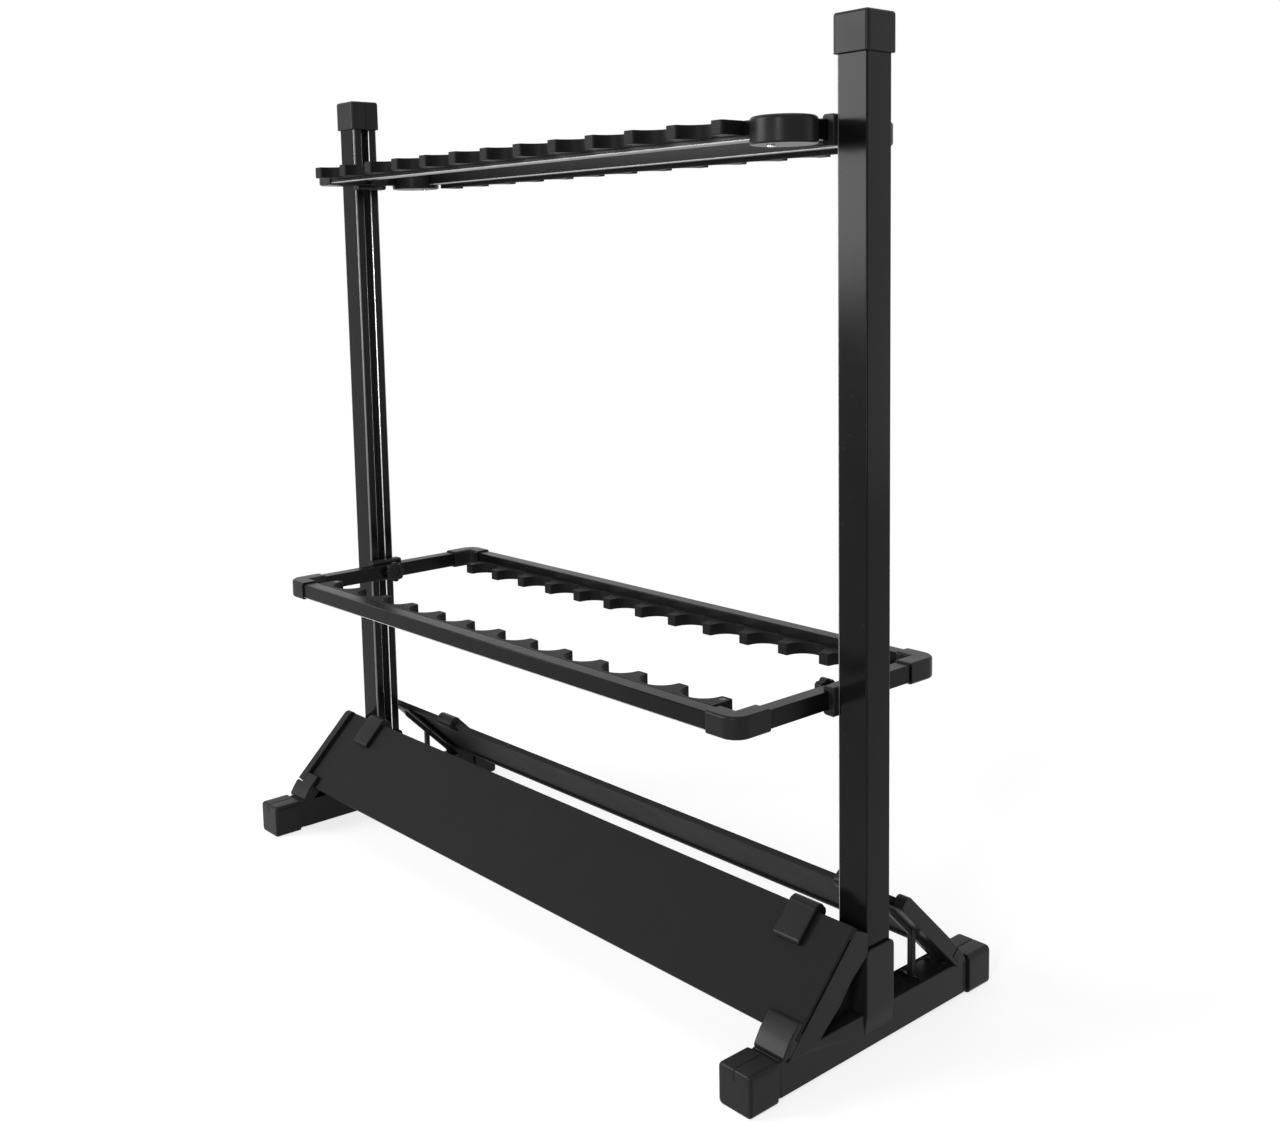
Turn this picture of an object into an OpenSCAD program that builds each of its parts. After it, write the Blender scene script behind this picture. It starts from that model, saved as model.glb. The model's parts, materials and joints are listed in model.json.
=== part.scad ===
// Floor-standing rod rack: two slotted uprights on moulded A-frame feet, two sloping butt panels,
// and two notched racks that slide on the uprights and are clamped by thumb knobs.
// Millimetres, +Z up, X along the rack, the front is -Y. Origin on the floor under the middle.
// The lower rack and the upper rack are drawn at the heights seen in the photograph.

/* [Uprights] */
// Distance between the centre lines of the two uprights
post_spacing = 700; // [640:1:740]
// Outer width of the square upright
post_size = 28; // [26:0.5:30]
// Wall of the upright tube
post_wall = 1.8; // [1.4:0.1:2.2]
// Width of the slot in the inner face of the upright
post_slot = 8; // [7.6:0.1:9]
// Height of the upright's top end above the floor
post_top = 781; // [770:1:860]
// Height of the upright's lower end inside the foot bracket
post_seat = 20; // [17:0.5:22]

/* [End caps] */
// Wall of the end caps round the tube
cap_wall = 2.5; // [2.2:0.1:3]
// Length of an end cap
cap_length = 29.5; // [26:0.5:34]
// Closed end of an end cap
cap_end = 3; // [2:0.1:4]
// Width of the moulded line on the caps
cap_line = 1.6; // [1:0.1:3]

/* [Foot bracket] */
// How far the foot beam reaches beyond the foot of the panel leg
foot_toe = 8.5; // [5.5:0.5:13.5]
// Underside of the foot beam above the floor
foot_lift = 2.3; // [1.5:0.1:3]
// Height of the foot beam
foot_height = 28.7; // [27.5:0.1:29.5]
// Bare length of spigot between the beam and the cap
spigot_bare = 5; // [2:0.5:8]
// Top of the sleeve that holds the upright
sleeve_top = 83; // [78:0.5:86]
// Thickness of the flange under each panel
flange_thick = 3.1; // [2.8:0.1:4.2]
// Thickness of the webs and gusset plates
web_thick = 3.4; // [3:0.1:4.5]
// Width of the raised rim beside the panel end
rim_width = 10; // [8:0.5:11]
// Height of rim and clips above the panel
rim_height = 5; // [4:0.1:6]
// Depth of the front gusset plate under the flange
gusset_depth = 20; // [16:0.5:22]
// Distance of the rear strut from the middle of the bracket
strut_at = 59.5; // [56:0.5:64]

/* [Panels] */
// Height of the panels' upper outer edge
panel_top_z = 107.85; // [105:0.05:110]
// Distance of the upper outer edge from the middle plane
panel_top_y = 31.6; // [30:0.1:33]
// Slope of the panels below the horizontal
panel_angle = 44.57; // [43:0.01:46]
// Width of a panel down the slope
panel_width = 92; // [90:0.5:94]
// Thickness of the panel skin
panel_skin = 2.8; // [2.2:0.1:3.2]
// Thickness of the solid bands along both panel edges
panel_lip = 5; // [4.6:0.1:5.4]
// Width of the band along the upper edge
panel_band = 9; // [7:0.5:12]
// Distance of the rear left hook from the left upright's centre line
rear_left_hook = 90; // [40:1:120]

/* [Rod strips] */
// Number of notches in a strip
notch_count = 12; // [10:1:13]
// Width of the teeth between the notches
tooth_width = 12; // [10:0.5:14]
// Thickness of a strip, vertically
strip_height = 10.6; // [10:0.1:12]
// Material left behind the deepest point of a notch
strip_back = 2.8; // [2:0.1:4]
// How far the rear strips sit below the rails' top
rear_strip_drop = 7.8; // [6:0.1:8.5]

/* [Rack tubes] */
// Width of the rectangular rack tube
tube_width = 13.85; // [13:0.05:14.5]
// Height of the rectangular rack tube
tube_height = 14.7; // [14:0.1:15.5]
// Wall of the rack tube
tube_wall = 1.2; // [1:0.1:1.6]
// Space between end tube and upright, filled by the saddle
saddle_space = 6.35; // [6:0.05:8]
// Depth of the lower rack, outside to outside
lower_depth = 237.34; // [232:0.1:240]
// Height of the lower rack's top face
lower_top = 279.5; // [240:0.5:330]
// Depth of the upper rack, outside to outside
upper_depth = 130.7; // [128:0.1:134]
// Distance of the upper rack's top face below the upright's top end
upper_drop = 72; // [69:0.5:91]
// Length of the corner elbows along the rails
elbow_leg = 32; // [30:0.5:33]
// Length of the corner elbows along the end tubes
elbow_depth = 37; // [34:0.5:38]
// How far the elbow stands proud of the tube
elbow_proud = 1.6; // [1.2:0.1:1.8]
// Rounding of the elbows' outer corner
elbow_round = 15; // [12:0.5:15.5]
// Diameter of the round corner holders
disc_diameter = 50; // [48:0.5:52]
// Top of the corner holders above the tubes
disc_rise = 1.8; // [1.6:0.1:4]

/* [Clamps] */
// Diameter of the clamp bolts
bolt_diameter = 6; // [5.4:0.1:6.2]
// Outer diameter of the thumb knobs
knob_diameter = 21; // [20:0.5:23]
// Thickness of the thumb knobs
knob_thick = 7; // [6:0.5:9]
// Half width of the lower rack's saddles
lower_saddle_half = 18; // [16:0.5:22]
// Half width of the upper rack's saddles
upper_saddle_half = 17; // [14:0.5:17.4]

/* [Hidden] */

eps = 0.01;
fit = 0.1;
side_x = post_spacing / 2;
inner_face = side_x - post_size / 2;
outer_face = side_x + post_size / 2;
flange_out = outer_face + 2;
cap_size = post_size + 2 * cap_wall;
foot_top = foot_lift + foot_height;
sleeve_half = cap_size / 2;
// The end tubes stand this far from the middle on their outer side
tube_out = inner_face - saddle_space;
tube_in = tube_out - tube_width;
// Strip sizes follow from the space between the elbows
strip_half = tube_out - elbow_leg - 6.05;
pitch = (2 * strip_half - tooth_width) / notch_count;
notch_radius = (pitch - tooth_width) / 2;
tip_radius = 2;
strip_depth = strip_back + notch_radius + tip_radius;
bore = bolt_diameter + 0.6;
cos_a = cos(panel_angle);
sin_a = sin(panel_angle);
upper_top = post_top - upper_drop;
screw_shank = 2.94;
screw_hole = 3;
screw_head = 6;
screw_head_high = 1.5;
screw_length = 9.8;

// Points on the panel slope: s runs down the panel's outer face, h stands out of it
function slope_y(s, h) = panel_top_y + s * cos_a + h * sin_a;
function slope_z(s, h) = panel_top_z - s * sin_a + h * cos_a;
function slope(s, h) = [slope_y(s, h), slope_z(s, h)];
function s_at(z, h) = (panel_top_z + h * cos_a - z) / sin_a;
function z_under(y, h) = panel_top_z + h * cos_a - (y - panel_top_y - h * sin_a) * sin_a / cos_a;

// Half length of the foot beam without its spigots
foot_half = slope_y(s_at(foot_top, -panel_lip), -panel_lip) + foot_toe;

// Extrude a (y, z) outline along X from x0 to x1
module along_x(x0, x1) {
    translate([x0, 0, 0]) rotate([90, 0, 90]) linear_extrude(x1 - x0) children();
}

module rounded(w, h, r) {
    union() {
        square([w - 2 * r, h], center = true);
        square([w, h - 2 * r], center = true);
        for (x = [-1, 1], y = [-1, 1]) {
            translate([x * (w / 2 - r), y * (h / 2 - r)]) circle(r, $fn = 40);
        }
    }
}

// Upright standing at x = side_x, slot towards the middle
module upright() {
    difference() {
        translate([side_x, 0, post_seat]) linear_extrude(post_top - post_seat) difference() {
            rounded(post_size, post_size, 1.2);
            square(post_size - 2 * post_wall, center = true);
        }
        translate([inner_face - 1, -post_slot / 2, post_seat - 1])
            cube([post_wall + 2, post_slot, post_top - post_seat + 2]);
    }
}

module left_upright() { color("#202022") mirror([1, 0, 0]) upright(); }
module right_upright() { color("#202022") upright(); }

// Cap with its open end at z = 0; the moulded line runs up the -X face and over the end
module end_cap() {
    over = cap_length - cap_end;
    difference() {
        intersection() {
            linear_extrude(cap_length) rounded(cap_size, cap_size, 4.2);
            translate([-cap_size, 0, 0]) along_x(0, 2 * cap_size) cap_side();
            rotate([0, 0, 90]) translate([-cap_size, 0, 0]) along_x(0, 2 * cap_size) cap_side();
        }
        translate([0, 0, -1]) linear_extrude(over + 1) square(post_size + 2 * fit, center = true);
        translate([-cap_size / 2 - 1, -cap_line / 2, -1]) cube([1.7, cap_line, cap_length + 2]);
        translate([-cap_size / 2 - 1, -cap_line / 2, cap_length - 0.7]) cube([10, cap_line, 2]);
    }
}

module cap_side() {
    edge = 2.2;
    polygon([[-cap_size / 2, -1], [cap_size / 2, -1], [cap_size / 2, cap_length - edge],
        [cap_size / 2 - edge, cap_length], [-cap_size / 2 + edge, cap_length],
        [-cap_size / 2, cap_length - edge]]);
}

module upright_cap() {
    translate([side_x, 0, post_top + cap_end - cap_length]) end_cap();
}

module left_upright_cap() { color("#1a1a1b") mirror([1, 0, 0]) upright_cap(); }
module right_upright_cap() { color("#1a1a1b") upright_cap(); }

// Front foot cap on the right bracket: open end towards the middle, line on top
module foot_cap() {
    translate([side_x, -foot_half - spigot_bare, cap_size / 2])
        rotate([0, 90, 0]) rotate([90, 0, 0]) end_cap();
}

module left_front_foot_cap() { color("#1a1a1b") mirror([1, 0, 0]) foot_cap(); }
module right_front_foot_cap() { color("#1a1a1b") foot_cap(); }
module left_rear_foot_cap() { color("#1a1a1b") rotate([0, 0, 180]) foot_cap(); }
module right_rear_foot_cap() { color("#1a1a1b") mirror([0, 1, 0]) foot_cap(); }

// One leg of the bracket, drawn towards +Y: flange, land between the panel bands, rim
module leg(with_rim) {
    top = 0.6;
    low = -panel_lip - flange_thick;
    sink = foot_top - 3;
    along_x(inner_face, flange_out)
        polygon([slope(top, -panel_lip), slope(s_at(sink, -panel_lip), -panel_lip),
            slope(s_at(sink, low), low), slope(top + 3, low), slope(top, low + 1.5)]);
    along_x(inner_face + 3, flange_out - rim_width - 1)
        polygon([slope(panel_band + 0.4, -panel_lip - 1),
            slope(panel_band + 0.4, -panel_skin - 0.1),
            slope(panel_width - 6.4, -panel_skin - 0.1),
            slope(panel_width - 6.4, -panel_lip - 1)]);
    if (with_rim) {
        along_x(flange_out - rim_width, flange_out)
            polygon([slope(0, -panel_lip - 1), slope(-0.5, 1), slope(1, rim_height - 1.2),
                slope(4, rim_height), slope(panel_width - 1, rim_height),
                slope(panel_width - 1, -panel_lip - 1)]);
    }
}

// Near half: deep gusset plate over a recess that is closed by the web
module deep_gusset() {
    low = -panel_lip - flange_thick + 1;
    g = -panel_lip - flange_thick - gusset_depth;
    sink = foot_top - 3;
    web_x = side_x - web_thick / 2;
    clear_y = post_size / 2 + fit;
    cover_z = slope_z(1, -panel_lip - 0.5) - 6.5;
    along_x(web_x, web_x + web_thick)
        polygon([[sleeve_half - 2, sink], [sleeve_half - 2, sleeve_top - 3], slope(1, low),
            slope(s_at(sink, low), low)]);
    // Outer plate with the concave lower edge, reaching up to the upright
    along_x(flange_out - web_thick, flange_out)
        polygon([[clear_y, sleeve_top - 4], [clear_y, cover_z], slope(1, -panel_lip - 0.5),
            slope(s_at(sink, low), low),
            slope(s_at(sink, g + 2), g + 2), slope(s_at(foot_top + 4, g + 1), g + 1),
            slope(52, g - 1.6), slope(30, g - 0.8), [sleeve_half - 1, sleeve_top - 3.5]]);
    // Cover between the panel's upper edge and the upright
    along_x(inner_face, flange_out)
        polygon([[clear_y, cover_z - 3], [clear_y, cover_z], slope(1, -panel_lip - 0.5),
            slope(4, low)]);
    // Rib that closes the space between plate and web
    along_x(side_x, flange_out - 1)
        polygon([[sleeve_half - 2, sleeve_top - 0.8], slope(30, g + 1.8), slope(52, g + 1),
            slope(s_at(sink, g + 3.6), g + 3.6), slope(s_at(sink, g + 2), g + 2),
            slope(s_at(foot_top + 4, g + 1), g + 1), slope(52, g - 1.6), slope(30, g - 0.8),
            [sleeve_half - 2, sleeve_top - 3.5]]);
}

// Far half: slim leg with a rib under the flange, an upright strut and open windows
module slim_leg() {
    low = -panel_lip - flange_thick + 1;
    rib = -panel_lip - flange_thick - 3.5;
    sink = foot_top - 3;
    web_x = side_x - web_thick / 2;
    along_x(web_x, web_x + web_thick)
        polygon([slope(3, low), slope(s_at(sink, low), low), slope(s_at(sink, rib - 4), rib - 4),
            slope(s_at(foot_top + 7, rib), rib), slope(12, rib)]);
    along_x(side_x - 2.6, side_x + 2.6)
        polygon([[strut_at - 2.5, sink], [strut_at + 2.5, sink],
            [strut_at + 2.5, z_under(strut_at + 2.5, low)],
            [strut_at - 2.5, z_under(strut_at - 2.5, low)]]);
}

// Right bracket: the gusset faces the front, the slim leg the rear
module bracket(rim_front, rim_rear) {
    difference() {
        union() {
            // Foot beam and its two spigots
            difference() {
                translate([side_x - post_size / 2, -foot_half, foot_lift])
                    cube([post_size, 2 * foot_half, foot_height]);
                beam_trough(sleeve_half + 1, strut_at - 2.6);
                beam_trough(strut_at + 2.6, slope_y(s_at(foot_top, trough_rib), trough_rib) - 5);
            }
            translate([side_x, foot_half + spigot_bare + cap_length - cap_end - 0.2, cap_size / 2])
                rotate([90, 0, 0])
                linear_extrude(2 * (foot_half + spigot_bare + cap_length - cap_end - 0.2))
                    square(post_size - 0.2, center = true);
            // Sleeve with a tapered start and broken top corners
            intersection() {
                translate([0, sleeve_half, 0]) rotate([90, 0, 0]) linear_extrude(cap_size)
                    polygon([[inner_face + 1, foot_lift], [outer_face - 1, foot_lift],
                        [outer_face, post_seat - 6], [outer_face + 1, post_seat],
                        [side_x + sleeve_half, foot_top],
                        [side_x + sleeve_half, sleeve_top], [side_x - sleeve_half, sleeve_top],
                        [side_x - sleeve_half, foot_top],
                        [inner_face - 1, post_seat], [inner_face, post_seat - 6]]);
                along_x(side_x - 20, side_x + 20)
                    polygon([[-sleeve_half, foot_lift], [sleeve_half, foot_lift],
                        [sleeve_half, sleeve_top - 4], [sleeve_half - 1.2, sleeve_top - 1.2],
                        [sleeve_half - 4, sleeve_top], [-sleeve_half + 4, sleeve_top],
                        [-sleeve_half + 1.2, sleeve_top - 1.2], [-sleeve_half, sleeve_top - 4]]);
            }
            mirror([0, 1, 0]) leg(rim_front);
            leg(rim_rear);
            mirror([0, 1, 0]) deep_gusset();
            slim_leg();
        }
        // Socket for the upright
        translate([side_x, 0, post_seat]) linear_extrude(sleeve_top)
            square(post_size + 2 * fit, center = true);
        // Hollows under the foot beam, with a rib left under the strut
        for (m = [0, 1]) {
            mirror([0, m, 0]) {
                beam_hollow(sleeve_half + 3.5, strut_at - 2.5);
                beam_hollow(strut_at + 1.5, foot_half - 7);
            }
        }
    }
}

// Depth of the open trough along the top of the foot beam, behind the upright
trough_depth = 8;
trough_rib = -panel_lip - flange_thick - 3.5;

module beam_trough(y0, y1) {
    translate([inner_face + 3.2, y0, foot_top - trough_depth])
        cube([post_size - 6.4, y1 - y0, trough_depth + 1]);
}

module beam_hollow(y0, y1) {
    translate([inner_face + 3.5, y0, foot_lift - 1])
        cube([post_size - 7, y1 - y0, foot_height + 1 - trough_depth - 3.2]);
}

module left_base_bracket() { color("#1c1c1d") mirror([1, 0, 0]) bracket(true, false); }
module right_base_bracket() { color("#1c1c1d") bracket(false, true); }

// Panel drawn towards +Y: skin with two thick edge bands
module panel_profile() {
    polygon([slope(0, 0), slope(panel_width, 0), slope(panel_width, -panel_lip),
        slope(panel_width - 6, -panel_lip), slope(panel_width - 6, -panel_skin),
        slope(panel_band, -panel_skin), slope(panel_band, -panel_lip), slope(0, -panel_lip)]);
}

module rear_half_panel() {
    along_x(-flange_out, flange_out - rim_width - 0.3) panel_profile();
}

module front_panel() { color("#161618") rotate([0, 0, 180]) rear_half_panel(); }
module rear_panel() { color("#161618") rear_half_panel(); }

// Hook over the panel's upper edge, on the rear right, centred on x
hook_half = 13.5;
module top_hook(x) {
    along_x(x - hook_half, x + hook_half)
        polygon([slope(30, 0), slope(30, 3.2), slope(28, rim_height), slope(3, rim_height + 0.2),
            slope(-1, rim_height + 0.6), slope(-4, rim_height - 0.8), slope(-6, 2.6), slope(-6.8, 0),
            slope(-6.4, -panel_lip - 1), slope(-4.6, -panel_lip - 3.4), slope(-1, -panel_lip - 4.6),
            slope(8, -panel_lip - 2.6), slope(8, -panel_lip), slope(0, -panel_lip), slope(0, 0)]);
}

module rear_right_top_hook() { color("#19191a") top_hook(side_x - 37); }
module front_right_top_hook() { color("#19191a") mirror([0, 1, 0]) top_hook(side_x - 32); }
module rear_left_top_hook() { color("#19191a") top_hook(rear_left_hook - side_x); }
module front_left_top_hook() { color("#19191a") rotate([0, 0, 180]) top_hook(side_x - 42); }

// Clip over the panel's lower edge; beside a rim its upper part is narrower
clip_top = 80.5;
module bottom_clip(beside_rim) {
    nose = panel_width + 0.2;
    panel_side = beside_rim ? flange_out - rim_width - 0.3 : flange_out;
    along_x(inner_face, panel_side)
        polygon([slope(clip_top, 0), slope(clip_top, rim_height - 1.4),
            slope(clip_top + 1.6, rim_height), slope(nose, rim_height), slope(nose, 0)]);
    along_x(inner_face, flange_out)
        polygon([slope(nose - 0.01, -panel_lip), slope(nose - 0.01, rim_height),
            slope(nose + 3.6, rim_height), [foot_half - 3.4, foot_top + 7],
            [foot_half - 0.6, foot_top + 2.5], [foot_half - 0.6, foot_top],
            slope(s_at(foot_top, -panel_lip), -panel_lip)]);
}

module rear_right_bottom_clip() { color("#19191a") bottom_clip(true); }
module front_right_bottom_clip() { color("#19191a") mirror([0, 1, 0]) bottom_clip(false); }
module rear_left_bottom_clip() { color("#19191a") mirror([1, 0, 0]) bottom_clip(false); }
module front_left_bottom_clip() { color("#19191a") rotate([0, 0, 180]) bottom_clip(true); }

// Tube along X from x0 to x1 with its outer side at y1 and its top at z1
module rail_tube(x0, x1, y1, z1) {
    along_x(x0, x1) translate([y1 - tube_width / 2, z1 - tube_height / 2]) tube_section();
}

module tube_section() {
    difference() {
        rounded(tube_width, tube_height, 1);
        square([tube_width - 2 * tube_wall, tube_height - 2 * tube_wall], center = true);
    }
}

// Right end tube from y0 to y1 with the cross bore for the clamp bolt
module end_tube(y0, y1, z1) {
    difference() {
        translate([tube_in + tube_width / 2, y1, z1 - tube_height / 2])
            rotate([90, 0, 0]) linear_extrude(y1 - y0) tube_section();
        translate([tube_in - 1, 0, z1 - tube_height / 2]) rotate([0, 90, 0])
            cylinder(h = tube_width + 2, d = bore, $fn = 48);
    }
}

// Elbow round the rear right corner, y1 is the rail's outer side
module elbow(y1, z1) {
    ox = tube_out + elbow_proud;
    oy = y1 + elbow_proud;
    w = tube_width + 2 * elbow_proud;
    bend = elbow_round;
    difference() {
        translate([0, 0, z1 - tube_height - elbow_proud])
            linear_extrude(tube_height + 2 * elbow_proud) union() {
                intersection() {
                    translate([ox - bend, oy - bend]) circle(bend, $fn = 96);
                    translate([ox - bend, oy - bend]) square(bend);
                }
                translate([ox - elbow_leg, oy - w]) square([elbow_leg - bend, w]);
                translate([ox - w, oy - elbow_depth]) square([w, elbow_depth - bend]);
            }
        // Sockets for rail and end tube
        translate([ox - elbow_leg - 1, y1 - tube_width - fit, z1 - tube_height - fit])
            cube([elbow_leg - tube_width - 1, tube_width + 2 * fit, tube_height + 2 * fit]);
        translate([tube_in - fit, oy - elbow_depth - 1, z1 - tube_height - fit])
            cube([tube_width + 2 * fit, elbow_depth - tube_width - 1, tube_height + 2 * fit]);
    }
}

elbow_seat = tube_width + 3;

// Rod strip with its back at y = 0 and the teeth towards +Y, top at z = 0
module rod_strip() {
    difference() {
        translate([0, 0, -strip_height]) linear_extrude(strip_height) difference() {
            translate([-strip_half, 0]) square([2 * strip_half, strip_depth]);
            for (i = [0:notch_count - 1]) {
                translate([-strip_half + tooth_width / 2 + pitch * (i + 0.5), strip_depth - tip_radius])
                    union() {
                        circle(notch_radius, $fn = 96);
                        translate([-notch_radius, 0])
                            square([2 * notch_radius, tip_radius + 1]);
                    }
            }
            // Rounded tips
            for (i = [0:notch_count]) {
                translate([-strip_half + tooth_width / 2 + pitch * i, strip_depth]) for (m = [-1, 1]) {
                    translate([m * tooth_width / 2, 0]) difference() {
                        square(2 * tip_radius, center = true);
                        translate([-m * tip_radius, -tip_radius]) circle(tip_radius, $fn = 32);
                    }
                }
            }
        }
        for (m = [-1, 1]) {
            translate([m * (strip_half - tooth_width / 2), screw_in, 0.2 - screw_length])
                cylinder(h = screw_length + 1, d = screw_hole, $fn = 32);
            translate([m * (strip_half - tooth_width / 2), screw_in, -screw_head_high])
                cylinder(h = screw_head_high + 1, d = screw_head + 0.3, $fn = 32);
        }
    }
}

// Distance of the strip screws from the strip's back
screw_in = strip_depth - 5.5;

module strip_screw() {
    translate([0, 0, -screw_head_high]) cylinder(h = screw_head_high - 0.1, d = screw_head, $fn = 32);
    translate([0, 0, 0.4 - screw_length])
        cylinder(h = screw_length - screw_head_high, d = screw_shank, $fn = 32);
}

module strip_screws(back_y, inward, z1) {
    for (m = [-1, 1], n = [-1, 1]) {
        drop = n > 0 ? rear_strip_drop : 0;
        translate([m * (strip_half - tooth_width / 2), n * (back_y + inward * screw_in), z1 - drop])
            strip_screw();
    }
}

// Saddle against the right end tube with short lips over it, bored for the bolt
module saddle(half, z1) {
    far = inner_face - 0.2;
    wrap = tube_out - 5;
    low = z1 - tube_height;
    difference() {
        translate([0, half, 0]) rotate([90, 0, 0]) linear_extrude(2 * half)
            polygon([[wrap, z1 + 2.4], [wrap + 1.6, z1 + 4], [far - 1.2, z1 + 4],
                [far, z1 + 2.8], [far, low - 3.4], [far - 1.2, low - 4.6],
                [wrap + 1.6, low - 4.2], [wrap, low - 2.8],
                [wrap, low], [tube_out, low], [tube_out, z1], [wrap, z1]]);
        translate([tube_out - 1, 0, z1 - tube_height / 2]) rotate([0, 90, 0])
            cylinder(h = saddle_space + 2, d = bore, $fn = 48);
    }
}

// Nut inside the upright with a neck in the slot
module slot_nut(z1) {
    x1 = inner_face + post_wall + 0.3;
    difference() {
        union() {
            translate([x1, -8, z1 - tube_height / 2 - 8]) cube([5, 16, 16]);
            translate([inner_face + 0.3, -post_slot / 2 + 0.3, z1 - tube_height / 2 - 8])
                cube([post_wall + 1, post_slot - 0.6, 16]);
        }
        translate([inner_face - 1, 0, z1 - tube_height / 2]) rotate([0, 90, 0])
            cylinder(h = 12, d = bolt_diameter + 0.12, $fn = 48);
    }
}

// Thumb knob with its collar and bolt, axis along X
module knob(z1) {
    back = tube_in - 1.6;
    lobes = 8;
    translate([0, 0, z1 - tube_height / 2]) rotate([0, 90, 0]) union() {
        difference() {
            translate([0, 0, back - knob_thick]) cylinder(h = knob_thick, d = knob_diameter, $fn = 96);
            for (i = [0:lobes - 1]) {
                rotate([0, 0, i * 360 / lobes + 22.5]) translate([knob_diameter / 2 + 1.2, 0, back - knob_thick - 1])
                    cylinder(h = knob_thick + 2, d = 5, $fn = 40);
            }
            translate([0, 0, back - knob_thick - 1]) cylinder(h = 2.2, d = knob_diameter - 12, $fn = 48);
        }
        translate([0, 0, back - 1]) cylinder(h = 2.3, d = 13, $fn = 48);
        translate([0, 0, back]) cylinder(h = inner_face + post_wall + 7 - back, d = bolt_diameter, $fn = 48);
    }
}

lower_y = lower_depth / 2;
upper_y = upper_depth / 2;

module lower_rail() {
    rail_tube(-tube_out + elbow_seat, tube_out - elbow_seat, lower_y, lower_top);
}

module lower_rear_rail() { color("#1d1d1f") lower_rail(); }
module lower_front_rail() { color("#1d1d1f") mirror([0, 1, 0]) lower_rail(); }
module lower_right_end_tube() {
    color("#1d1d1f") end_tube(-lower_y + elbow_seat, lower_y - elbow_seat, lower_top);
}
module lower_left_end_tube() {
    color("#1d1d1f") mirror([1, 0, 0])
        end_tube(-lower_y + elbow_seat, lower_y - elbow_seat, lower_top);
}
module lower_rear_right_elbow() { color("#19191a") elbow(lower_y, lower_top); }
module lower_rear_left_elbow() { color("#19191a") mirror([1, 0, 0]) elbow(lower_y, lower_top); }
module lower_front_right_elbow() { color("#19191a") mirror([0, 1, 0]) elbow(lower_y, lower_top); }
module lower_front_left_elbow() { color("#19191a") rotate([0, 0, 180]) elbow(lower_y, lower_top); }

// The lower teeth point towards the middle
module lower_front_rod_strip() {
    color("#141415") translate([0, -lower_y + tube_width, lower_top]) rod_strip();
}
module lower_rear_rod_strip() {
    color("#141415") translate([0, lower_y - tube_width, lower_top - rear_strip_drop])
        mirror([0, 1, 0]) rod_strip();
}
module lower_strip_screws() {
    color("#2a2a2c") strip_screws(lower_y - tube_width, -1, lower_top);
}
module lower_right_saddle() { color("#19191a") saddle(lower_saddle_half, lower_top); }
module lower_left_saddle() {
    color("#19191a") mirror([1, 0, 0]) saddle(lower_saddle_half, lower_top);
}
module lower_right_slot_nut() { color("#8b8d90") slot_nut(lower_top); }
module lower_left_slot_nut() { color("#8b8d90") mirror([1, 0, 0]) slot_nut(lower_top); }
module lower_right_knob() { color("#161617") knob(lower_top); }
module lower_left_knob() { color("#161617") mirror([1, 0, 0]) knob(lower_top); }

// The holder sits over the rear left corner, on the ends of a rail and an end tube
holder_x = tube_out - 12.65;
holder_y = upper_y - 15.35;
holder_screw_x = tube_out - 17.6;
holder_screw_y = upper_y - tube_width / 2;
holder_low = tube_height + 3.8;

module holder() {
    z0 = upper_top - holder_low;
    rise = holder_low + disc_rise;
    reach = disc_diameter;
    difference() {
        translate([-holder_x, holder_y, z0]) rotate_extrude($fn = 128)
            polygon([[0, 0], [disc_diameter / 2 - 1.2, 0], [disc_diameter / 2, 1.5],
                [disc_diameter / 2, rise - 2.5], [disc_diameter / 2 - 2.5, rise], [0, rise]]);
        // Sockets for rail and end tube
        translate([-tube_out - fit, upper_y - tube_width - fit, upper_top - tube_height - fit])
            cube([reach, tube_width + 2 * fit, tube_height + 2 * fit]);
        translate([-tube_out - fit, upper_y + fit - reach, upper_top - tube_height - fit])
            cube([tube_width + 2 * fit, reach, tube_height + 2 * fit]);
        translate([-holder_screw_x, holder_screw_y, z0 - 1])
            cylinder(h = holder_low, d = screw_hole, $fn = 32);
    }
}

module holder_screw() {
    z0 = upper_top - holder_low;
    translate([-holder_screw_x, holder_screw_y, z0 - screw_head_high])
        cylinder(h = screw_head_high, d = screw_head, $fn = 32);
    translate([-holder_screw_x, holder_screw_y, z0 - 0.2])
        cylinder(h = holder_low - tube_height + tube_wall + 4, d = screw_shank, $fn = 32);
}

// Rear rail: full length to the left under the holder, into the elbow on the right
module upper_rail() {
    difference() {
        rail_tube(-tube_out, tube_out - elbow_seat, upper_y, upper_top);
        translate([-holder_screw_x, holder_screw_y, upper_top - tube_height - 1])
            cylinder(h = tube_wall + 2, d = screw_hole, $fn = 32);
    }
}

module upper_rear_rail() { color("#1d1d1f") upper_rail(); }
module upper_front_rail() { color("#1d1d1f") rotate([0, 0, 180]) upper_rail(); }
module upper_right_end_tube() {
    color("#1d1d1f") end_tube(-upper_y + tube_width, upper_y - elbow_seat, upper_top);
}
module upper_left_end_tube() {
    color("#1d1d1f") rotate([0, 0, 180])
        end_tube(-upper_y + tube_width, upper_y - elbow_seat, upper_top);
}
module upper_rear_right_elbow() { color("#19191a") elbow(upper_y, upper_top); }
module upper_front_left_elbow() { color("#19191a") rotate([0, 0, 180]) elbow(upper_y, upper_top); }
module upper_rear_left_holder() { color("#19191a") holder(); }
module upper_front_right_holder() { color("#19191a") rotate([0, 0, 180]) holder(); }
module holder_screws() {
    color("#c9cacc") {
        holder_screw();
        rotate([0, 0, 180]) holder_screw();
    }
}

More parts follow.
